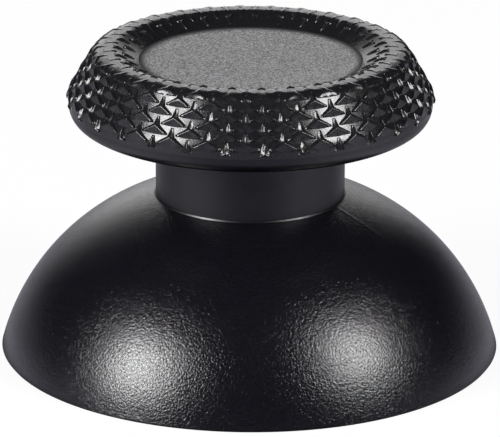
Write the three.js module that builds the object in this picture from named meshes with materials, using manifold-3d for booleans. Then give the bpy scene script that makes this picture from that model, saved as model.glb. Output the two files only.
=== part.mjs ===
import * as THREE from 'three';
import { mergeGeometries, mergeVertices } from 'three/addons/utils/BufferGeometryUtils.js';
import Module from 'manifold-3d';

// Thumbstick cap of a game controller, in millimetres, +Z up.
// The origin is the centre of the dome's rim, and -Y is the side that faces the viewer.
// The cap is one moulding: a hollow dome, a neck, and a dished head with a studded edge.

// Dome: its outside is one arc, whose centre lies off the axis and below the rim
const rimRadius = 12.5;
const domeArcRadius = 11.3;
const domeArcDrop = 2.82;
const domeWall = 1.15;
const rimEdge = 0.12;

// Neck, with the small witness step where it leaves the dome
const neckRadius = 4.72;
const neckLength = 3.64;
const footStep = 0.07;
const neckFillet = 0.25;

// Head, all heights counted from its underside
const headRadius = 9.05;
const undersideBlend = 1.7;
const shoulderHeight = 1.46;
const shoulderBlend = 0.3;
const crestOuterRadius = 7.7;
const crestInnerRadius = 6.7;
const crestHeight = 3.84;
const crestOuterBlend = 0.5;
const crestInnerBlend = 0.3;
const dishBlend = 0.5;

// Dished thumb face, a flat disc inside a sloping edge
const discRadius = 5.47;
const discHeight = 3.21;
const dishEdgeRise = 0.11;
const dishEdgeWidth = 0.13;

// Studs: three-pointed pyramids in staggered rows, each with one point towards the disc
const studsPerRow = 30;
const studPhase = THREE.MathUtils.degToRad(-1.6);
const rowPitch = 0.486;
const outerStudHeight = 0.125;
const innerStudHeight = 0.03;
const spikeLength = 0.51;
const armDrop = 0.37;
const footDrop = 0.1;
const notchDepth = 0.41;
const notchRise = 0.05;
const plainLip = 2.18;
const firstRowOffset = 0.28;
const lastRowMargin = 0.05;
const discLip = 0.12;
// Sideways reach of a stud's points, as shares of the angle between two columns
const armReach = 0.77;
const footReach = 0.3;
const notchReach = 0.19;

// Boss inside the dome, with the double-D socket that presses onto the stick's stem
const bossRadius = 3.5;
const bossRecess = 2.0;
const bossEdge = 0.25;
const bossFillet = 0.8;
const socketRadius = 2.03;
const socketFlats = 3.05;
const socketDepth = 7.0;
const socketLeadIn = 0.35;

// Facets: one every column of studs around the axis, and these along each curve
const columns = 2 * studsPerRow;
const domeSteps = 16;
const innerSteps = 9;
const blendSteps = 6;
const filletSteps = 3;

const columnAngle = (2 * Math.PI) / columns;
const arcCentreRadius = rimRadius - Math.sqrt(domeArcRadius ** 2 - domeArcDrop ** 2);
const undersideZ = domeHeightAt(neckRadius, domeArcRadius) + neckLength;
const discZ = undersideZ + discHeight;

function domeHeightAt(radius, arcRadius) {
  return Math.sqrt(arcRadius ** 2 - (radius - arcCentreRadius) ** 2) - domeArcDrop;
}

// Rounds a corner between two straight stretches, over the given length of each
function cornerBlend(before, corner, after, lengthBefore, lengthAfter = lengthBefore) {
  const start = corner.clone().add(before.clone().sub(corner).setLength(lengthBefore));
  const end = corner.clone().add(after.clone().sub(corner).setLength(lengthAfter));
  return new THREE.QuadraticBezierCurve(start, corner, end);
}

function polarArc(arcRadius, fromAngle, toAngle) {
  const clockwise = toAngle < fromAngle;
  return new THREE.EllipseCurve(
    arcCentreRadius, -domeArcDrop, arcRadius, arcRadius, fromAngle, toAngle, clockwise,
  );
}

// Section of the head from the end of its flat underside, over the crest, to the disc
function headSection() {
  const flatEnd = new THREE.Vector2(headRadius - undersideBlend, undersideZ);
  const lowerCorner = new THREE.Vector2(headRadius, undersideZ);
  const shoulder = new THREE.Vector2(headRadius, undersideZ + shoulderHeight);
  const crestOuter = new THREE.Vector2(crestOuterRadius, undersideZ + crestHeight);
  const crestInner = new THREE.Vector2(crestInnerRadius, undersideZ + crestHeight);
  const dishEdge = new THREE.Vector2(discRadius + dishEdgeWidth, discZ + dishEdgeRise);
  const discEdge = new THREE.Vector2(discRadius, discZ);
  const bends = [
    cornerBlend(flatEnd, lowerCorner, shoulder, undersideBlend, shoulderHeight - shoulderBlend),
    cornerBlend(lowerCorner, shoulder, crestOuter, shoulderBlend),
    cornerBlend(shoulder, crestOuter, crestInner, crestOuterBlend),
    cornerBlend(crestOuter, crestInner, dishEdge, crestInnerBlend, dishBlend),
  ];
  const section = new THREE.CurvePath();
  for (const bend of bends) {
    const last = section.curves.at(-1);
    if (last) {
      section.add(new THREE.LineCurve(last.v2, bend.v0));
    }
    section.add(bend);
  }
  section.add(new THREE.LineCurve(bends.at(-1).v2, dishEdge));
  section.add(new THREE.LineCurve(dishEdge, discEdge));
  return section;
}

const head = headSection();
const headLength = head.getLength();
const bandStart = plainLip;
const bandEnd = headLength - discLip;
const firstRow = bandStart + firstRowOffset;
const rowSpace = bandEnd - lastRowMargin - spikeLength - firstRow;
const rowCount = Math.floor(rowSpace / rowPitch) + 1;

// Point of the head's surface at a column and a length along its section, raised by a lift
function onHead(column, along, lift = 0) {
  const point = head.getPoint(along / headLength);
  const tangent = head.getTangent(along / headLength);
  const radius = point.x + tangent.y * lift;
  const wrapped = (column + columns) % columns;
  const angle = studPhase + wrapped * columnAngle;
  return new THREE.Vector3(
    radius * Math.sin(angle), point.y - tangent.x * lift, radius * Math.cos(angle),
  );
}

// A corner of the studded band: its place on the flattened band, and its lift off the surface
function corner(column, along, lift = 0) {
  return { column, along, lift };
}

// Each stud has an apex, three points and the three notches between them
function studAt(column, row) {
  const centre = firstRow + row * rowPitch;
  const height = THREE.MathUtils.mapLinear(row, 0, rowCount - 1, outerStudHeight, innerStudHeight);
  const reach = row === 0 ? footReach : armReach;
  const drop = row === 0 ? footDrop : armDrop;
  return {
    apex: corner(column, centre, height),
    spike: corner(column, centre + spikeLength),
    leftArm: corner(column - reach, centre - drop),
    rightArm: corner(column + reach, centre - drop),
    leftNotch: corner(column - notchReach, centre + notchRise),
    rightNotch: corner(column + notchReach, centre + notchRise),
    lowerNotch: corner(column, centre - (row === 0 ? footDrop : notchDepth)),
  };
}

// Triangles of one flat-laid polygon of corners, wound to face out of the head
function fill(corners, positions) {
  const flat = corners.map((c) => new THREE.Vector2(c.column, c.along));
  for (const triangle of THREE.ShapeUtils.triangulateShape(flat, [])) {
    for (const index of triangle) {
      const { column, along, lift } = corners[index];
      positions.push(...onHead(column, along, lift).toArray());
    }
  }
}

function fillStud(stud, positions) {
  const outline = [
    stud.spike, stud.leftNotch, stud.leftArm, stud.lowerNotch, stud.rightArm, stud.rightNotch,
  ];
  outline.forEach((point, index) => {
    const next = outline[(index + 1) % outline.length];
    fill([stud.apex, point, next], positions);
  });
}

// The studs of odd rows stand in the even columns, and the others between them
function studdedBand() {
  const positions = [];
  for (let row = 0; row < rowCount; row += 1) {
    for (let column = (row + 1) % 2; column < columns; column += 2) {
      const stud = studAt(column, row);
      const right = studAt(column + 2, row);
      fillStud(stud, positions);
      if (row === 0) {
        const above = studAt(column + 1, 1);
        const rim = [0, 1, 2].map((step) => corner(column + step, bandStart));
        fill([
          ...rim, right.lowerNotch, right.leftArm, right.leftNotch, above.rightArm,
          above.lowerNotch, above.leftArm, stud.rightNotch, stud.rightArm, stud.lowerNotch,
        ], positions);
      }
      if (row === rowCount - 1) {
        const below = studAt(column + 1, row - 1);
        const rim = [2, 1, 0].map((step) => corner(column + step, bandEnd));
        fill([
          ...rim, stud.spike, stud.rightNotch, stud.rightArm, below.leftNotch, below.spike,
          below.rightNotch, right.leftArm, right.leftNotch, right.spike,
        ], positions);
      }
      if (row + 2 < rowCount) {
        const next = studAt(column, row + 2);
        const leftBeside = studAt(column - 1, row + 1);
        const rightBeside = studAt(column + 1, row + 1);
        fill([
          stud.spike, stud.rightNotch, rightBeside.leftArm, rightBeside.leftNotch,
          next.rightArm, next.lowerNotch, next.leftArm,
          leftBeside.rightNotch, leftBeside.rightArm, stud.leftNotch,
        ], positions);
      }
    }
  }
  const band = new THREE.BufferGeometry();
  band.setAttribute('position', new THREE.Float32BufferAttribute(positions, 3));
  return band;
}

// Section of everything below the studded band, from the boss's end round to the head
function lowerSection() {
  const innerArc = domeArcRadius - domeWall;
  const innerRim = Math.asin(domeArcDrop / innerArc);
  const outerRim = Math.asin(domeArcDrop / domeArcRadius);
  const cavityTop = new THREE.Vector2(bossRadius, domeHeightAt(bossRadius, innerArc));
  const filletRadius = bossRadius + bossFillet;
  const filletAngle = Math.acos((filletRadius - arcCentreRadius) / innerArc);
  const inside = polarArc(innerArc, filletAngle, innerRim);
  const footRadius = neckRadius + footStep;
  const footAngle = Math.acos((footRadius - arcCentreRadius) / domeArcRadius);
  const edgeAngle = outerRim + rimEdge / domeArcRadius;
  const outside = polarArc(domeArcRadius, edgeAngle, footAngle);
  const bossCorner = new THREE.QuadraticBezierCurve(
    new THREE.Vector2(bossRadius, cavityTop.y - bossFillet),
    cavityTop,
    new THREE.Vector2(filletRadius, domeHeightAt(filletRadius, innerArc)),
  );
  const neckTop = new THREE.Vector2(neckRadius, undersideZ);
  const neckCorner = cornerBlend(
    new THREE.Vector2(neckRadius, 0), neckTop, new THREE.Vector2(headRadius, undersideZ), neckFillet,
  );
  const lip = [];
  for (let step = 0; step <= 2 * blendSteps; step += 1) {
    lip.push(head.getPoint(((step / (2 * blendSteps)) * bandStart) / headLength));
  }
  return [
    new THREE.Vector2(0, bossRecess),
    new THREE.Vector2(bossRadius - bossEdge, bossRecess),
    new THREE.Vector2(bossRadius, bossRecess + bossEdge),
    ...bossCorner.getPoints(filletSteps),
    ...inside.getPoints(innerSteps),
    new THREE.Vector2(rimRadius - rimEdge, 0),
    ...outside.getPoints(domeSteps),
    new THREE.Vector2(footRadius, domeHeightAt(footRadius, domeArcRadius) + footStep),
    new THREE.Vector2(neckRadius, domeHeightAt(footRadius, domeArcRadius) + footStep),
    ...neckCorner.getPoints(filletSteps),
    ...lip,
  ];
}

// Section of the thumb face, from the studded band in to the axis
function discSection() {
  return [
    head.getPoint(bandEnd / headLength),
    new THREE.Vector2(discRadius, discZ),
    new THREE.Vector2(0, discZ),
  ];
}

function turned(section) {
  return new THREE.LatheGeometry(section, columns, studPhase).toNonIndexed();
}

const wasm = await Module();
wasm.setup();

// Makes a solid of surfaces that close on each other
function solidOf(surfaces) {
  for (const surface of surfaces) {
    surface.deleteAttribute('normal');
    surface.deleteAttribute('uv');
  }
  const merged = mergeVertices(mergeGeometries(surfaces));
  const corners = [];
  const index = merged.index.array;
  for (let at = 0; at < index.length; at += 3) {
    const [a, b, c] = index.slice(at, at + 3);
    if (a !== b && b !== c && c !== a) {
      corners.push(a, b, c);
    }
  }
  return new wasm.Manifold(new wasm.Mesh({
    numProp: 3,
    vertProperties: merged.attributes.position.array,
    triVerts: new Uint32Array(corners),
  }));
}

// Double-D socket with a round lead-in, standing along +Z from the boss's end
function socket() {
  const flatAngle = Math.asin(socketFlats / 2 / socketRadius);
  const outline = new THREE.Shape();
  outline.absarc(0, 0, socketRadius, -flatAngle, flatAngle);
  outline.absarc(0, 0, socketRadius, Math.PI - flatAngle, Math.PI + flatAngle);
  const overrun = 1;
  const slot = new THREE.ExtrudeGeometry(outline, {
    depth: socketDepth + overrun, bevelEnabled: false, curveSegments: blendSteps,
  });
  slot.translate(0, 0, bossRecess - overrun);
  const mouthHeight = socketLeadIn + overrun;
  const mouth = new THREE.CylinderGeometry(
    socketRadius, socketRadius + mouthHeight, mouthHeight, columns / 2,
  );
  mouth.rotateX(Math.PI / 2);
  mouth.translate(0, 0, bossRecess + socketLeadIn - mouthHeight / 2);
  return solidOf([slot]).add(solidOf([mouth.toNonIndexed()]));
}

function capGeometry() {
  const upright = [turned(lowerSection()), studdedBand(), turned(discSection())];
  for (const surface of upright) {
    surface.rotateX(Math.PI / 2);
  }
  const mesh = solidOf(upright).subtract(socket()).getMesh();
  const geometry = new THREE.BufferGeometry();
  geometry.setAttribute('position', new THREE.BufferAttribute(mesh.vertProperties, mesh.numProp));
  geometry.setIndex(new THREE.BufferAttribute(mesh.triVerts, 1));
  geometry.computeVertexNormals();
  return geometry;
}

const blackPlastic = new THREE.MeshStandardMaterial({
  color: 0x1c1c1f, roughness: 0.42, metalness: 0,
});

const cap = new THREE.Mesh(capGeometry(), blackPlastic);
cap.name = 'thumbstick_cap';

const group = new THREE.Group();
group.add(cap);

export default group;
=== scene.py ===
import math
import bmesh
import bpy
from mathutils import Matrix, Vector


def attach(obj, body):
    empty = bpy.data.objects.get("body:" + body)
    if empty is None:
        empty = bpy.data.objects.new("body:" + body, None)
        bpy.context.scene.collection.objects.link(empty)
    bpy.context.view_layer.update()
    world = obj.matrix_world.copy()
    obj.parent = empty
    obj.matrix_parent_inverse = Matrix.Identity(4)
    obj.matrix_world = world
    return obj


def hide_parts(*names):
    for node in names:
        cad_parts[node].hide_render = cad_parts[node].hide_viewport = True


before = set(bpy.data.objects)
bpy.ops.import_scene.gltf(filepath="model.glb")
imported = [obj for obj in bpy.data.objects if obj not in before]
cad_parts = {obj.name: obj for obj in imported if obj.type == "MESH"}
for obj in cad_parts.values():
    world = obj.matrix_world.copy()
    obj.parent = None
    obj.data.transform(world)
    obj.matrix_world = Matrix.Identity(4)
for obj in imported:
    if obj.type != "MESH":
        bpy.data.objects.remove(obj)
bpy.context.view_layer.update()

# Thumbstick cap of a game controller: a hollow dome, a neck, and a dished head with a studded edge.
# It is one moulding of the solid's main sizes, with finer studs, tighter blends and its finishes.

# Sizes, in metres. The origin is the centre of the dome's rim, +Z is up and -Y is the front.
MM = 0.001

# Dome: its outside is one arc, whose centre lies off the axis and below the rim
RIM_RADIUS = 12.5 * MM
ARC_RADIUS = 11.3 * MM
ARC_DROP = 2.82 * MM
DOME_WALL = 1.15 * MM
RIM_EDGE = 0.12 * MM
ARC_CENTRE = RIM_RADIUS - math.sqrt(ARC_RADIUS ** 2 - ARC_DROP ** 2)
INNER_ARC_RADIUS = ARC_RADIUS - DOME_WALL
INNER_RIM_ANGLE = math.asin(ARC_DROP / INNER_ARC_RADIUS)
RIM_EDGE_ANGLE = math.asin(ARC_DROP / ARC_RADIUS) + RIM_EDGE / ARC_RADIUS

# Neck, with the small step where it leaves the dome
NECK_RADIUS = 4.72 * MM
NECK_LENGTH = 3.64 * MM
FOOT_STEP = 0.07 * MM
FOOT_CHAMFER = 0.035 * MM
FOOT_RADIUS = NECK_RADIUS + FOOT_STEP
NECK_FILLET = 0.25 * MM

# Head, heights counted from its underside
HEAD_RADIUS = 9.05 * MM
UNDERSIDE_BLEND = 1.7 * MM
SHOULDER_HEIGHT = 1.46 * MM
SHOULDER_BLEND = 0.3 * MM
CREST_OUTER_RADIUS = 7.7 * MM
CREST_INNER_RADIUS = 6.7 * MM
CREST_HEIGHT = 3.84 * MM
CREST_OUTER_BLEND = 0.35 * MM
CREST_INNER_BLEND = 0.12 * MM
DISH_BLEND = 0.2 * MM
DISC_RADIUS = 5.47 * MM
DISC_FLAT = 4.8 * MM
DISC_BEND = 5.37 * MM
DISC_HEIGHT = 3.21 * MM
DISH_EDGE_RISE = 0.11 * MM
DISH_EDGE_WIDTH = 0.13 * MM

# Rows of studs, from the plain lip below them to the ring round the disc
STUDS_PER_ROW = 30
STUD_PHASE = math.radians(-1.6)
ROW_PITCH = 0.486 * MM
PLAIN_LIP = 2.18 * MM
FIRST_ROW_OFFSET = 0.28 * MM
LAST_ROW_MARGIN = 0.05 * MM
DISC_LIP = 0.12 * MM

# Studs: pyramids of three points, a spike towards the disc and two arms. A reach counts columns
SPIKE_LENGTH = 0.51 * MM
ARM_REACH = 0.77
ARM_DROP = 0.37 * MM
NOTCH_DEPTH = 0.41 * MM
NOTCH_REACH = 0.22
NOTCH_RISE = 0.07 * MM

# The first row's arms are cut short by the lip, and those on and behind the crest are small
FOOT_REACH = 0.3
FOOT_DROP = 0.1 * MM
SHORT_ARM_ROW = 7
SHORT_ARM_REACH = 0.3
SHORT_ARM_DROP = 0.2 * MM

# Heights of the studs, and the lengths along the head between which they sink and rise again
OUTER_STUD_HEIGHT = 0.15 * MM
CREST_STUD_HEIGHT = 0.02 * MM
INNER_STUD_HEIGHT = 0.1 * MM
SINK_START = 4.7 * MM
SINK_END = 5.7 * MM
RISE_START = 6.05 * MM
RISE_END = 6.35 * MM

# Blunt ends of the points, and the ridges, which are lower and rounded towards them
SPIKE_END = 0.09
ARM_END = 0.1 * MM
RIDGE_REACH = 0.85
RIDGE_END = 0.78
RIDGE_ROUND = 0.03 * MM
FLANK_HOLLOW = 1.5

# Boss inside the dome, with the double-D socket for the stick's stem
BOSS_RADIUS = 3.5 * MM
BOSS_RECESS = 2.0 * MM
BOSS_EDGE = 0.25 * MM
BOSS_FILLET = 0.8 * MM
SOCKET_RADIUS = 2.03 * MM
SOCKET_FLATS = 3.05 * MM
SOCKET_DEPTH = 7.0 * MM
SOCKET_LEAD_IN = 0.35 * MM
CUTTER_OVERRUN = 1 * MM

# How finely the shapes are divided
COLUMNS = 2 * STUDS_PER_ROW
CUTS = 2
RING_STEPS = COLUMNS * (CUTS + 1)
DOME_STEPS = 48
INNER_STEPS = 24
BEND_STEPS = 10
HEAD_BLEND_STEPS = 8 * BEND_STEPS
SOCKET_SEGMENTS = 64
COLUMN_ANGLE = 2 * math.pi / COLUMNS
SAME_POINT = 0.0005 * MM
SHARP_ANGLE = math.radians(40)

# Camera, as fitted to the outline of the cap in the photograph. Its sensor is in millimetres
CAMERA_BACK = 220.1 * MM
CAMERA_UP = 82.19 * MM
CAMERA_PITCH = math.radians(18.952)
CAMERA_ROLL = math.radians(0.312)
FOCAL_PIXELS = 4646.8
IMAGE_WIDTH = 500
SENSOR_WIDTH = 36.0


def make_camera():
    data = bpy.data.cameras.new("camera")
    data.sensor_width = SENSOR_WIDTH
    data.lens = FOCAL_PIXELS * SENSOR_WIDTH / IMAGE_WIDTH
    camera = bpy.data.objects.new("camera", data)
    bpy.context.scene.collection.objects.link(camera)
    tilt = Matrix.Rotation(math.pi / 2 - CAMERA_PITCH, 4, "X")
    roll = Matrix.Rotation(CAMERA_ROLL, 4, "Z")
    place = Matrix.Translation((0, -CAMERA_BACK, CAMERA_UP))
    camera.matrix_world = place @ tilt @ roll
    bpy.context.scene.camera = camera


# Sections are lists of (radius, height) points

def dome_height(radius, arc_radius):
    return math.sqrt(arc_radius ** 2 - (radius - ARC_CENTRE) ** 2) - ARC_DROP


def quadratic(start, control, end, steps):
    points = []
    for step in range(steps + 1):
        t = step / steps
        points.append(start * (1 - t) ** 2 + control * 2 * t * (1 - t) + end * t ** 2)
    return points


def corner_blend(before, corner, after, length_before, length_after, steps):
    start = corner + (before - corner).normalized() * length_before
    end = corner + (after - corner).normalized() * length_after
    return quadratic(start, corner, end, steps)


def arc_point(arc_radius, angle):
    radius = ARC_CENTRE + arc_radius * math.cos(angle)
    return Vector((radius, arc_radius * math.sin(angle) - ARC_DROP))


def dome_arc(arc_radius, start, end, steps):
    turn = end - start
    return [arc_point(arc_radius, start + turn * step / steps) for step in range(steps + 1)]


UNDERSIDE_Z = dome_height(NECK_RADIUS, ARC_RADIUS) + NECK_LENGTH
DISC_Z = UNDERSIDE_Z + DISC_HEIGHT


def head_section():
    flat_end = Vector((HEAD_RADIUS - UNDERSIDE_BLEND, UNDERSIDE_Z))
    lower_corner = Vector((HEAD_RADIUS, UNDERSIDE_Z))
    shoulder = Vector((HEAD_RADIUS, UNDERSIDE_Z + SHOULDER_HEIGHT))
    crest_outer = Vector((CREST_OUTER_RADIUS, UNDERSIDE_Z + CREST_HEIGHT))
    crest_inner = Vector((CREST_INNER_RADIUS, UNDERSIDE_Z + CREST_HEIGHT))
    dish_edge = Vector((DISC_RADIUS + DISH_EDGE_WIDTH, DISC_Z + DISH_EDGE_RISE))
    corners = [flat_end, lower_corner, shoulder, crest_outer, crest_inner, dish_edge]
    blends = [
        (UNDERSIDE_BLEND, SHOULDER_HEIGHT - SHOULDER_BLEND),
        (SHOULDER_BLEND, SHOULDER_BLEND),
        (CREST_OUTER_BLEND, CREST_OUTER_BLEND),
        (CREST_INNER_BLEND, DISH_BLEND),
    ]
    points = []
    for index, (before, after) in enumerate(blends):
        points += corner_blend(*corners[index:index + 3], before, after, HEAD_BLEND_STEPS)
    return points + [dish_edge, Vector((DISC_RADIUS, DISC_Z))]


HEAD = head_section()
HEAD_LENGTHS = [0.0]
for before, after in zip(HEAD, HEAD[1:]):
    HEAD_LENGTHS.append(HEAD_LENGTHS[-1] + (after - before).length)
BAND_START = PLAIN_LIP
BAND_END = HEAD_LENGTHS[-1] - DISC_LIP
FIRST_ROW = BAND_START + FIRST_ROW_OFFSET
ROW_SPACE = BAND_END - LAST_ROW_MARGIN - SPIKE_LENGTH - FIRST_ROW
ROWS = int(ROW_SPACE / ROW_PITCH) + 1
HEIGHTS = (
    (0.0, OUTER_STUD_HEIGHT), (SINK_START, OUTER_STUD_HEIGHT), (SINK_END, CREST_STUD_HEIGHT),
    (RISE_START, CREST_STUD_HEIGHT), (RISE_END, INNER_STUD_HEIGHT),
    (HEAD_LENGTHS[-1], INNER_STUD_HEIGHT),
)
FINISHES = ("inside", "grained", "neck", "lip", "land", "stud", "disc")


def head_point(along):
    """Point of the head's section at a length from the end of its flat underside."""
    for index in range(1, len(HEAD)):
        if along <= HEAD_LENGTHS[index]:
            break
    span = HEAD_LENGTHS[index] - HEAD_LENGTHS[index - 1]
    share = (along - HEAD_LENGTHS[index - 1]) / span if span else 0
    return HEAD[index - 1].lerp(HEAD[index], share)


def head_normal(along):
    reach = 0.02 * MM
    tangent = (head_point(along + reach) - head_point(along - reach)).normalized()
    return Vector((tangent.y, -tangent.x))


def around(radius, height, column):
    angle = STUD_PHASE + column * COLUMN_ANGLE
    return Vector((radius * math.sin(angle), -radius * math.cos(angle), height))


# The studded band is drawn flat, one strip two columns wide, then bent onto the head

def row_column(row):
    return (row + 1) % 2


def row_place(row):
    return FIRST_ROW + row * ROW_PITCH


def arms(row):
    """How far a row's arms reach sideways and down, and how deep the notch between them lies."""
    if row == 0:
        return FOOT_REACH, FOOT_DROP, FOOT_DROP
    if row < SHORT_ARM_ROW:
        return ARM_REACH, ARM_DROP, NOTCH_DEPTH
    return SHORT_ARM_REACH, SHORT_ARM_DROP, SHORT_ARM_DROP


def stud_corners(column, row):
    """Outline of a stud: two corners at the end of each of its three points, and three notches."""
    centre = row_place(row)
    reach, drop, depth = arms(row)
    end = 0 if row == 0 else ARM_END
    return {
        "left_spike": (column - SPIKE_END, centre + SPIKE_LENGTH),
        "right_spike": (column + SPIKE_END, centre + SPIKE_LENGTH),
        "right_notch": (column + NOTCH_REACH, centre + NOTCH_RISE),
        "upper_right": (column + reach, centre - drop + end),
        "lower_right": (column + reach, centre - drop),
        "lower_notch": (column, centre - depth),
        "lower_left": (column - reach, centre - drop),
        "upper_left": (column - reach, centre - drop + end),
        "left_notch": (column - NOTCH_REACH, centre + NOTCH_RISE),
    }


def stud_height(along):
    """Studs stand high outside, nearly vanish on top of the crest, and rise a little inside it."""
    for (start, low), (end, high) in zip(HEIGHTS, HEIGHTS[1:]):
        if along <= end:
            return low + (high - low) * (along - start) / (end - start)


def stud_tops(column, row):
    """Ridge points of a stud: its middle, and one near the end of each of its three points."""
    centre = row_place(row)
    reach, drop, depth = arms(row)
    height = OUTER_STUD_HEIGHT
    return {
        "middle": (column, centre, height),
        "spike": (column, centre + RIDGE_REACH * SPIKE_LENGTH, RIDGE_END * height),
        "right": (column + RIDGE_REACH * reach, centre - RIDGE_REACH * drop, RIDGE_END * height),
        "left": (column - RIDGE_REACH * reach, centre - RIDGE_REACH * drop, RIDGE_END * height),
    }


STUD_FACES = (
    ("spike", "left_spike", "right_spike"),
    ("middle", "spike", "right_spike", "right_notch"),
    ("middle", "right_notch", "upper_right", "right"),
    ("right", "upper_right", "lower_right"),
    ("middle", "right", "lower_right", "lower_notch"),
    ("middle", "lower_notch", "lower_left", "left"),
    ("left", "lower_left", "upper_left"),
    ("middle", "left", "upper_left", "left_notch"),
    ("middle", "left_notch", "left_spike", "spike"),
)


def land_outlines(column, row):
    """The smooth ground between the studs: one polygon above each stud, and one at each border."""
    stud = stud_corners(column, row)
    right = stud_corners(column + 2, row)
    outlines = []
    if row == 0:
        above = stud_corners(column + 1, 1)
        outlines.append(
            [(column + step, BAND_START) for step in (0, 1, 2)]
            + [right[name] for name in ("lower_notch", "lower_left", "upper_left", "left_notch")]
            + [above[name] for name in ("lower_right", "lower_notch", "lower_left")]
            + [stud[name] for name in ("right_notch", "upper_right", "lower_right", "lower_notch")]
        )
    if row == ROWS - 1:
        below = stud_corners(column + 1, row - 1)
        outlines.append(
            [(column + step, BAND_END) for step in (2, 1, 0)]
            + [stud[name] for name in ("left_spike", "right_spike", "right_notch")]
            + [stud[name] for name in ("upper_right", "lower_right")]
            + [below[name] for name in ("left_notch", "left_spike", "right_spike", "right_notch")]
            + [right[name] for name in ("lower_left", "upper_left", "left_notch", "left_spike")]
        )
    if row + 2 < ROWS:
        above = stud_corners(column, row + 2)
        left_beside = stud_corners(column - 1, row + 1)
        right_beside = stud_corners(column + 1, row + 1)
        outlines.append(
            [stud[name] for name in ("left_spike", "right_spike", "right_notch")]
            + [right_beside[name] for name in ("lower_left", "upper_left", "left_notch")]
            + [above[name] for name in ("lower_right", "lower_notch", "lower_left")]
            + [left_beside[name] for name in ("right_notch", "upper_right", "lower_right")]
            + [stud["left_notch"]]
        )
    return outlines


def flat_face(mesh, known, outline):
    """A face of the flat strip. A corner is a column, a length along the head and, on a stud's
    ridge, a height. Corners that fall together count once, and a face needs three.
    """
    corners = []
    for column, along, *height in outline:
        key = (round(column, 4), round(along / SAME_POINT))
        if key not in known:
            known[key] = mesh.verts.new((column * HEAD_RADIUS * COLUMN_ANGLE, along, sum(height)))
        if known[key] not in corners:
            corners.append(known[key])
    return mesh.faces.new(corners) if len(corners) > 2 else None


def draw_strip(mesh, ridge):
    """Draws the strip's studs and the ground between them, and marks the ridges of the studs."""
    known = {}
    studs = []
    lands = []
    for row in range(ROWS):
        column = row_column(row)
        corners = stud_corners(column, row) | stud_tops(column, row)
        for names in STUD_FACES:
            studs.append(flat_face(mesh, known, [corners[name] for name in names]))
        for outline in land_outlines(column, row):
            lands.append(flat_face(mesh, known, outline))
    studs = [face for face in studs if face]
    for face in lands:
        face.material_index = FINISHES.index("land")
    for face in studs:
        face.material_index = FINISHES.index("stud")
    for edge in mesh.edges:
        if all(vert.co.z > 0 for vert in edge.verts):
            edge[ridge] = 1
    bmesh.ops.triangulate(
        mesh, faces=lands + studs, quad_method="BEAUTY", ngon_method="BEAUTY"
    )


def raise_strip(mesh):
    """Turns the strip's faces up, divides them finely, and bends them onto the head."""
    bmesh.ops.recalc_face_normals(mesh, faces=mesh.faces)
    for face in mesh.faces:
        if face.normal.z < 0:
            face.normal_flip()
    bmesh.ops.subdivide_edges(mesh, edges=mesh.edges, cuts=CUTS, use_grid_fill=True)
    for vert in mesh.verts:
        point = head_point(vert.co.y)
        share = (max(vert.co.z, 0) / OUTER_STUD_HEIGHT) ** FLANK_HOLLOW
        raised = point + head_normal(vert.co.y) * share * stud_height(vert.co.y)
        vert.co = around(raised.x, raised.y, vert.co.x / (HEAD_RADIUS * COLUMN_ANGLE))


def studded_band(mesh, ridge):
    """The whole studded edge: one strip, repeated round the axis."""
    draw_strip(mesh, ridge)
    raise_strip(mesh)
    strip = mesh.verts[:] + mesh.edges[:] + mesh.faces[:]
    copies = STUDS_PER_ROW - 1
    bmesh.ops.spin(
        mesh, geom=strip, axis=(0, 0, 1), cent=(0, 0, 0), steps=copies,
        angle=2 * COLUMN_ANGLE * copies, use_duplicate=True,
    )


def turned(mesh, section, finish):
    """Spins a section of the cap once round its axis, as faces of one finish."""
    chain = [mesh.verts.new(around(point.x, point.y, 0)) for point in section]
    edges = [mesh.edges.new(pair) for pair in zip(chain, chain[1:])]
    old = set(mesh.faces)
    bmesh.ops.spin(
        mesh, geom=chain + edges, axis=(0, 0, 1), cent=(0, 0, 0), steps=RING_STEPS,
        angle=2 * math.pi, use_merge=True,
    )
    for face in mesh.faces:
        if face not in old:
            face.material_index = FINISHES.index(finish)


def inside_section():
    fillet_radius = BOSS_RADIUS + BOSS_FILLET
    cavity_top = Vector((BOSS_RADIUS, dome_height(BOSS_RADIUS, INNER_ARC_RADIUS)))
    points = [
        Vector((0, BOSS_RECESS)),
        Vector((BOSS_RADIUS - BOSS_EDGE, BOSS_RECESS)),
        Vector((BOSS_RADIUS, BOSS_RECESS + BOSS_EDGE)),
    ]
    points += quadratic(
        cavity_top - Vector((0, BOSS_FILLET)), cavity_top,
        Vector((fillet_radius, dome_height(fillet_radius, INNER_ARC_RADIUS))), BEND_STEPS,
    )
    fillet_angle = math.acos((fillet_radius - ARC_CENTRE) / INNER_ARC_RADIUS)
    points += dome_arc(INNER_ARC_RADIUS, fillet_angle, INNER_RIM_ANGLE, INNER_STEPS)[1:]
    return points


def rim_section():
    return [
        arc_point(INNER_ARC_RADIUS, INNER_RIM_ANGLE),
        Vector((RIM_RADIUS - RIM_EDGE, 0)),
        arc_point(ARC_RADIUS, RIM_EDGE_ANGLE),
    ]


def dome_section():
    foot_angle = math.acos((FOOT_RADIUS - ARC_CENTRE) / ARC_RADIUS)
    return dome_arc(ARC_RADIUS, RIM_EDGE_ANGLE, foot_angle, DOME_STEPS)


def neck_section():
    foot_z = dome_height(FOOT_RADIUS, ARC_RADIUS)
    neck_top = Vector((NECK_RADIUS, UNDERSIDE_Z))
    return [
        Vector((FOOT_RADIUS, foot_z)),
        Vector((FOOT_RADIUS - FOOT_CHAMFER, foot_z + FOOT_STEP)),
        Vector((NECK_RADIUS, foot_z + FOOT_STEP)),
    ] + corner_blend(
        Vector((NECK_RADIUS, 0)), neck_top, Vector((HEAD_RADIUS, UNDERSIDE_Z)),
        NECK_FILLET, NECK_FILLET, BEND_STEPS,
    ) + [HEAD[0]]


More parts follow.
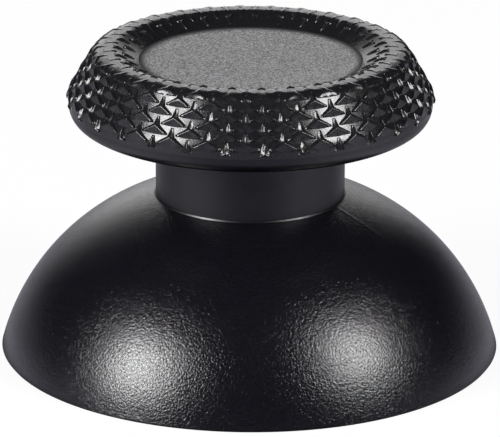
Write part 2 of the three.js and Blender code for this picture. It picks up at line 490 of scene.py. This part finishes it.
def lip_section():
    steps = 2 * BEND_STEPS
    return [head_point(BAND_START * step / steps) for step in range(steps + 1)]


def disc_section():
    bend = Vector((DISC_BEND, DISC_Z))
    flat = Vector((DISC_FLAT, DISC_Z))
    return quadratic(head_point(BAND_END), bend, flat, BEND_STEPS) + [Vector((0, DISC_Z))]


def link_mesh(name, mesh, materials):
    data = bpy.data.meshes.new(name)
    mesh.to_mesh(data)
    mesh.free()
    piece = bpy.data.objects.new(name, data)
    bpy.context.scene.collection.objects.link(piece)
    for material in materials:
        data.materials.append(material)
    return piece


def socket_cutter():
    """A double-D prism. The round, flared mouth at the boss's end is a cutter of its own."""
    mesh = bmesh.new()
    bmesh.ops.create_circle(mesh, cap_ends=True, segments=SOCKET_SEGMENTS, radius=SOCKET_RADIUS)
    for side in (1, -1):
        flat = Vector((0, side * SOCKET_FLATS / 2, 0))
        whole = mesh.verts[:] + mesh.edges[:] + mesh.faces[:]
        bmesh.ops.bisect_plane(
            mesh, geom=whole, plane_co=flat, plane_no=(0, side, 0), clear_outer=True
        )
    bmesh.ops.translate(mesh, verts=mesh.verts, vec=(0, 0, BOSS_RECESS - CUTTER_OVERRUN))
    grown = bmesh.ops.extrude_face_region(mesh, geom=mesh.faces[:])["geom"]
    top = [item for item in grown if isinstance(item, bmesh.types.BMVert)]
    bmesh.ops.translate(mesh, verts=top, vec=(0, 0, SOCKET_DEPTH + CUTTER_OVERRUN))
    bmesh.ops.recalc_face_normals(mesh, faces=mesh.faces)
    return link_mesh("socket_cutter", mesh, [])


def mouth_cutter():
    mesh = bmesh.new()
    height = SOCKET_LEAD_IN + CUTTER_OVERRUN
    bmesh.ops.create_cone(
        mesh, cap_ends=True, segments=SOCKET_SEGMENTS, depth=height,
        radius1=SOCKET_RADIUS + height, radius2=SOCKET_RADIUS,
    )
    bmesh.ops.translate(
        mesh, verts=mesh.verts, vec=(0, 0, BOSS_RECESS + SOCKET_LEAD_IN - height / 2)
    )
    return link_mesh("mouth_cutter", mesh, [])


def cut(piece, cutter):
    """Takes the cutter's shape out of the piece, and removes the cutter."""
    modifier = piece.modifiers.new("cut", "BOOLEAN")
    modifier.operation = "DIFFERENCE"
    modifier.solver = "EXACT"
    modifier.object = cutter
    graph = bpy.context.evaluated_depsgraph_get()
    data = bpy.data.meshes.new_from_object(piece.evaluated_get(graph))
    piece.modifiers.clear()
    piece.data = data
    bpy.data.objects.remove(cutter)


def sharpen(cap):
    """Shades the cap smooth, but for its corners and the foot of every stud."""
    for polygon in cap.data.polygons:
        polygon.use_smooth = True
    cap.data.set_sharp_from_angle(angle=SHARP_ANGLE)
    band = {FINISHES.index("land"), FINISHES.index("stud")}
    mesh = bmesh.new()
    mesh.from_mesh(cap.data)
    for edge in mesh.edges:
        if {face.material_index for face in edge.link_faces} == band:
            edge.smooth = False
    mesh.to_mesh(cap.data)
    mesh.free()


# Finishes

DOME_BLACK = (0.0041, 0.0039, 0.0057)
NECK_BLACK = (0.002, 0.002, 0.0034)
EDGE_BLACK = (0.008, 0.008, 0.009)
DISC_GREY = (0.215, 0.212, 0.215)
# Painted shade on the disc: over this span of radius its tone falls to the studded edge's black
DISC_RIM_SHADE_SPAN = (DISC_RADIUS - 0.37 * MM, DISC_RADIUS + 0.03 * MM)
PLASTIC_IOR = 1.5

# Mottle: how far the tone varies. Speckle is coarser than the grain, and sharply stepped
MOTTLE = 0.15
DISC_MOTTLE = 0.6
SPECKLE_SCALE = 0.7
SPECKLE_STEP = (0.42, 0.58)
GRAIN_RANGE = (0.3, 0.7)

# Crease: the plane it lies in, its middle, and its reach, front slope, back slope and height
CREASE_PLANE = (0.5766, 0.4130, 0.7049)
CREASE_OFFSET = 7.151 * MM
CREASE_MIDDLE = (5.64 * MM, -3.24 * MM, 7.43 * MM)
CREASE_REACH = 1.95 * MM
CREASE_FADE = 0.3 * MM
CREASE_WIDTH = 0.06 * MM
CREASE_BACK = 0.15 * MM
CREASE_HEIGHT = 0.012 * MM


def new_material(name):
    material = bpy.data.materials.new(name)
    material.use_nodes = True
    material.node_tree.nodes.new("ShaderNodeTexCoord")
    return material


def nodes_of(material):
    """A material's nodes, its shader, and the place on the object that they work from."""
    tree = material.node_tree
    return tree, tree.nodes["Principled BSDF"], tree.nodes["Texture Coordinate"].outputs["Object"]


def math_node(tree, operation, first, second=0.0):
    node = tree.nodes.new("ShaderNodeMath")
    node.operation = operation
    for socket, value in zip(node.inputs, (first, second)):
        if isinstance(value, (int, float)):
            socket.default_value = value
        else:
            tree.links.new(value, socket)
    return node.outputs[0]


def axis_distance(tree, place):
    split = tree.nodes.new("ShaderNodeSeparateXYZ")
    tree.links.new(place, split.inputs[0])
    across = math_node(tree, "MULTIPLY", split.outputs["X"], split.outputs["X"])
    along = math_node(tree, "MULTIPLY", split.outputs["Y"], split.outputs["Y"])
    return math_node(tree, "SQRT", math_node(tree, "ADD", across, along))


def noise(tree, place, scale, detail=2.0, distortion=0.0):
    node = tree.nodes.new("ShaderNodeTexNoise")
    tree.links.new(place, node.inputs["Vector"])
    node.inputs["Scale"].default_value = scale
    node.inputs["Detail"].default_value = detail
    node.inputs["Distortion"].default_value = distortion
    return node.outputs["Fac"]


def ramp(tree, value, low, high, start, end):
    node = tree.nodes.new("ShaderNodeMapRange")
    tree.links.new(value, node.inputs["Value"])
    node.inputs["From Min"].default_value = low
    node.inputs["From Max"].default_value = high
    node.inputs["To Min"].default_value = start
    node.inputs["To Max"].default_value = end
    return node.outputs["Result"]


def mixed_colour(tree, share, first, second):
    """Goes from the first colour to the second by a share. Each is plain or a node's output."""
    node = tree.nodes.new("ShaderNodeMixRGB")
    tree.links.new(share, node.inputs["Fac"])
    for socket, colour in (("Color1", first), ("Color2", second)):
        if isinstance(colour, tuple):
            node.inputs[socket].default_value = (*colour, 1)
        else:
            tree.links.new(colour, node.inputs[socket])
    return node.outputs["Color"]


def bump(tree, shader, height, distance):
    """Adds a bump on top of those that the shader has."""
    node = tree.nodes.new("ShaderNodeBump")
    tree.links.new(height, node.inputs["Height"])
    node.inputs["Strength"].default_value = 1.0
    node.inputs["Distance"].default_value = distance
    for link in shader.inputs["Normal"].links:
        tree.links.new(link.from_socket, node.inputs["Normal"])
    tree.links.new(node.outputs["Normal"], shader.inputs["Normal"])


def plastic(name, colour, roughness, spread, grain_size, grain_height, mottle=MOTTLE):
    """Moulded plastic, with a grain in its surface and its gloss and a mottle in its tone."""
    material = new_material(name)
    tree, shader, place = nodes_of(material)
    dark, light = [tuple(value * share for value in colour) for share in (1 - mottle, 1 + mottle)]
    speckle = ramp(tree, noise(tree, place, SPECKLE_SCALE / grain_size), *SPECKLE_STEP, 0, 1)
    tree.links.new(mixed_colour(tree, speckle, dark, light), shader.inputs["Base Color"])
    shader.inputs["IOR"].default_value = PLASTIC_IOR
    grain = noise(tree, place, 1 / grain_size, detail=3.0, distortion=0.4)
    gloss = ramp(tree, grain, *GRAIN_RANGE, roughness - spread, roughness + spread)
    tree.links.new(gloss, shader.inputs["Roughness"])
    bump(tree, shader, grain, grain_height)
    return material


def painted_rim_shade(material):
    """Painted shade: the disc's tone falls to the studded edge's own towards its rim, where the
    crest's wall shades it.
    """
    tree, shader, place = nodes_of(material)
    share = ramp(tree, axis_distance(tree, place), *DISC_RIM_SHADE_SPAN, 0, 1)
    pale = shader.inputs["Base Color"].links[0].from_socket
    tree.links.new(mixed_colour(tree, share, pale, EDGE_BLACK), shader.inputs["Base Color"])
    return material


def creased(material):
    """A hairline step in the dome's skin, on the right of the neck's foot, along one plane."""
    tree, shader, place = nodes_of(material)
    side = tree.nodes.new("ShaderNodeVectorMath")
    side.operation = "DOT_PRODUCT"
    side.inputs[1].default_value = CREASE_PLANE
    tree.links.new(place, side.inputs[0])
    offset = math_node(tree, "SUBTRACT", side.outputs["Value"], CREASE_OFFSET)
    front = ramp(tree, offset, -CREASE_WIDTH, 0, 0, 1)
    back = ramp(tree, offset, 0, CREASE_BACK, 1, 0)
    reach = tree.nodes.new("ShaderNodeVectorMath")
    reach.operation = "DISTANCE"
    reach.inputs[1].default_value = CREASE_MIDDLE
    tree.links.new(place, reach.inputs[0])
    within = ramp(tree, reach.outputs["Value"], CREASE_REACH - CREASE_FADE, CREASE_REACH, 1, 0)
    ridge = math_node(tree, "MULTIPLY", math_node(tree, "MINIMUM", front, back), within)
    bump(tree, shader, ridge, CREASE_HEIGHT)
    return material


def make_finishes():
    """One finish for each name in FINISHES, in its order."""
    # name, colour, roughness and how far it varies, size and height of the grain
    inside = plastic("smooth_inside", DOME_BLACK, 0.45, 0.05, 0.4 * MM, 0.002 * MM)
    dome = plastic("leather_grain", DOME_BLACK, 0.17, 0.05, 0.1 * MM, 0.024 * MM)
    neck = plastic("satin_neck", NECK_BLACK, 0.36, 0.04, 0.5 * MM, 0.001 * MM)
    lip = plastic("satin_lip", NECK_BLACK, 0.33, 0.04, 0.5 * MM, 0.001 * MM)
    lands = plastic("satin_lands", EDGE_BLACK, 0.22, 0.06, 0.08 * MM, 0.004 * MM)
    studs = plastic("semi_gloss_studs", EDGE_BLACK, 0.24, 0.05, 0.1 * MM, 0.003 * MM)
    disc = plastic("speckled_disc", DISC_GREY, 0.7, 0.1, 0.055 * MM, 0.014 * MM, DISC_MOTTLE)
    return [inside, creased(dome), neck, lip, lands, studs, painted_rim_shade(disc)]


def make_cap():
    mesh = bmesh.new()
    ridge = mesh.edges.layers.int.new("ridge")
    studded_band(mesh, ridge)
    turned(mesh, inside_section(), "inside")
    turned(mesh, rim_section(), "inside")
    turned(mesh, dome_section(), "grained")
    turned(mesh, neck_section(), "neck")
    turned(mesh, lip_section(), "lip")
    turned(mesh, disc_section(), "disc")
    bmesh.ops.remove_doubles(mesh, verts=mesh.verts, dist=SAME_POINT)
    bmesh.ops.recalc_face_normals(mesh, faces=mesh.faces)
    ridges = [edge for edge in mesh.edges if edge[ridge]]
    bmesh.ops.bevel(
        mesh, geom=ridges, offset=RIDGE_ROUND, offset_type="OFFSET", segments=2, profile=0.5,
        affect="EDGES", clamp_overlap=True, material=-1,
    )
    cap = link_mesh("cap", mesh, make_finishes())
    cut(cap, socket_cutter())
    cut(cap, mouth_cutter())
    sharpen(cap)
    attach(cap, "root")
    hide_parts("thumbstick_cap")


# Stage: a pale floor, a white backdrop round the back, and soft lights

# Painted light on the floor, seen only in reflections: a painted contact shadow beside the rim, and
# tones round the cap that are dim in front, lit at the sides as painted pools of light, and dimmer
# again behind
CONTACT_SHADOW_SPAN = (RIM_RADIUS, RIM_RADIUS + 1.2 * MM)
CONTACT_SHADE = 0.1
DIM = (0.36, 0.35, 0.45)
LIT = (0.78, 0.76, 0.88)
WHITE = (1, 1, 1)
FAR = (0.34, 0.34, 0.38)
FLOOR_PAINTED_LIGHT = [(0, DIM), (0.1, DIM), (0.28, LIT), (0.4, LIT), (0.6, FAR), (1, FAR)]
BACKDROP_REFLECTED = [(0, WHITE), (1, WHITE)]
FLOOR_REACH = 4.0
FLOOR_WHITENESS = 0.92
FLOOR_COLOUR = 0.9
BACKDROP_RADIUS = 0.7
BACKDROP_HEIGHT = 0.3
BACKDROP_HALF_ANGLE = math.radians(19)
BACKDROP_STEPS = 40
BACKDROP_COLOUR = 0.5


def tones_round_cap(tree, place, tones):
    """The listed tones, from the front of the cap (stop 0) round its sides to its back (stop 1)."""
    split = tree.nodes.new("ShaderNodeSeparateXYZ")
    tree.links.new(place, split.inputs[0])
    side = math_node(tree, "ABSOLUTE", split.outputs["X"])
    front = math_node(tree, "MULTIPLY", split.outputs["Y"], -1)
    turn = math_node(tree, "DIVIDE", math_node(tree, "ARCTAN2", side, front), math.pi)
    stops = tree.nodes.new("ShaderNodeValToRGB")
    tree.links.new(turn, stops.inputs[0])
    for stop, tone in tones[1:-1]:
        stops.color_ramp.elements.new(stop)
    for element, (stop, tone) in zip(stops.color_ramp.elements, tones):
        element.position = stop
        element.color = (*tone, 1)
    return stops.outputs["Color"]


def pale_surface(name, share, colour, mirrored):
    """A matt paint that the camera sees as plain white by the given share.

    In reflections it glows in the mirrored tones, which are painted light, and dimmer beside the
    rim: a painted contact shadow where the cap stands.
    """
    material = new_material(name)
    tree, shader, place = nodes_of(material)
    shader.inputs["Base Color"].default_value = (colour, colour, colour, 1)
    shader.inputs["Roughness"].default_value = 1.0
    shader.inputs["Specular IOR Level"].default_value = 0.0
    path = tree.nodes.new("ShaderNodeLightPath")
    plain = math_node(tree, "MULTIPLY", path.outputs["Is Camera Ray"], share)
    white = tree.nodes.new("ShaderNodeEmission")
    painted_reflection = tree.nodes.new("ShaderNodeEmission")
    contact_shadow = ramp(tree, axis_distance(tree, place), *CONTACT_SHADOW_SPAN, CONTACT_SHADE, 1)
    tree.links.new(tones_round_cap(tree, place, mirrored), painted_reflection.inputs["Color"])
    tree.links.new(contact_shadow, painted_reflection.inputs["Strength"])
    seen = shader.outputs[0]
    for when, shown in ((plain, white), (path.outputs["Is Glossy Ray"], painted_reflection)):
        mix = tree.nodes.new("ShaderNodeMixShader")
        tree.links.new(when, mix.inputs[0])
        tree.links.new(seen, mix.inputs[1])
        tree.links.new(shown.outputs[0], mix.inputs[2])
        seen = mix.outputs[0]
    tree.links.new(seen, tree.nodes["Material Output"].inputs["Surface"])
    return material


def make_stage():
    mesh = bmesh.new()
    bmesh.ops.create_grid(mesh, x_segments=1, y_segments=1, size=FLOOR_REACH)
    pale = pale_surface("pale_floor", FLOOR_WHITENESS, FLOOR_COLOUR, FLOOR_PAINTED_LIGHT)
    floor = link_mesh("floor", mesh, [pale])
    mesh = bmesh.new()
    foot = mesh.verts.new((0, BACKDROP_RADIUS, 0))
    head = mesh.verts.new((0, BACKDROP_RADIUS, BACKDROP_HEIGHT))
    edge = mesh.edges.new((foot, head))
    bmesh.ops.rotate(
        mesh, verts=mesh.verts, cent=(0, 0, 0),
        matrix=Matrix.Rotation(-BACKDROP_HALF_ANGLE, 3, "Z"),
    )
    bmesh.ops.spin(
        mesh, geom=[foot, head, edge], axis=(0, 0, 1), cent=(0, 0, 0), steps=BACKDROP_STEPS,
        angle=2 * BACKDROP_HALF_ANGLE,
    )
    white = pale_surface("white_backdrop", 1.0, BACKDROP_COLOUR, BACKDROP_REFLECTED)
    backdrop = link_mesh("backdrop", mesh, [white])


LIGHT_DISTANCE = 0.45
ROOM_COLOUR = (0.8, 0.75, 1)
ROOM_STRENGTH = 0.02
LIGHTS = {
    # name: degrees from the front towards the right, degrees up, width, height, watts
    "left_softbox": (-58, 28, 0.19, 0.18, 2.65),
    "right_softbox": (61, 35, 0.14, 0.17, 1.75),
    "back_softbox": (-168, 15, 0.3, 0.22, 0.12),
}


def make_lights():
    for name, (azimuth, elevation, width, height, watts) in LIGHTS.items():
        data = bpy.data.lights.new(name, "AREA")
        data.shape = "RECTANGLE"
        data.size = width
        data.size_y = height
        data.energy = watts
        light = bpy.data.objects.new(name, data)
        bpy.context.scene.collection.objects.link(light)
        turn = Matrix.Rotation(math.radians(azimuth), 4, "Z")
        tilt = Matrix.Rotation(math.radians(90 - elevation), 4, "X")
        light.matrix_world = turn @ tilt @ Matrix.Translation((0, 0, LIGHT_DISTANCE))
    world = bpy.data.worlds.new("studio")
    bpy.context.scene.world = world
    world.use_nodes = True
    background = world.node_tree.nodes["Background"]
    background.inputs["Color"].default_value = (*ROOM_COLOUR, 1)
    background.inputs["Strength"].default_value = ROOM_STRENGTH
    bpy.context.scene.view_settings.view_transform = "Standard"


make_camera()
make_cap()
make_stage()
make_lights()
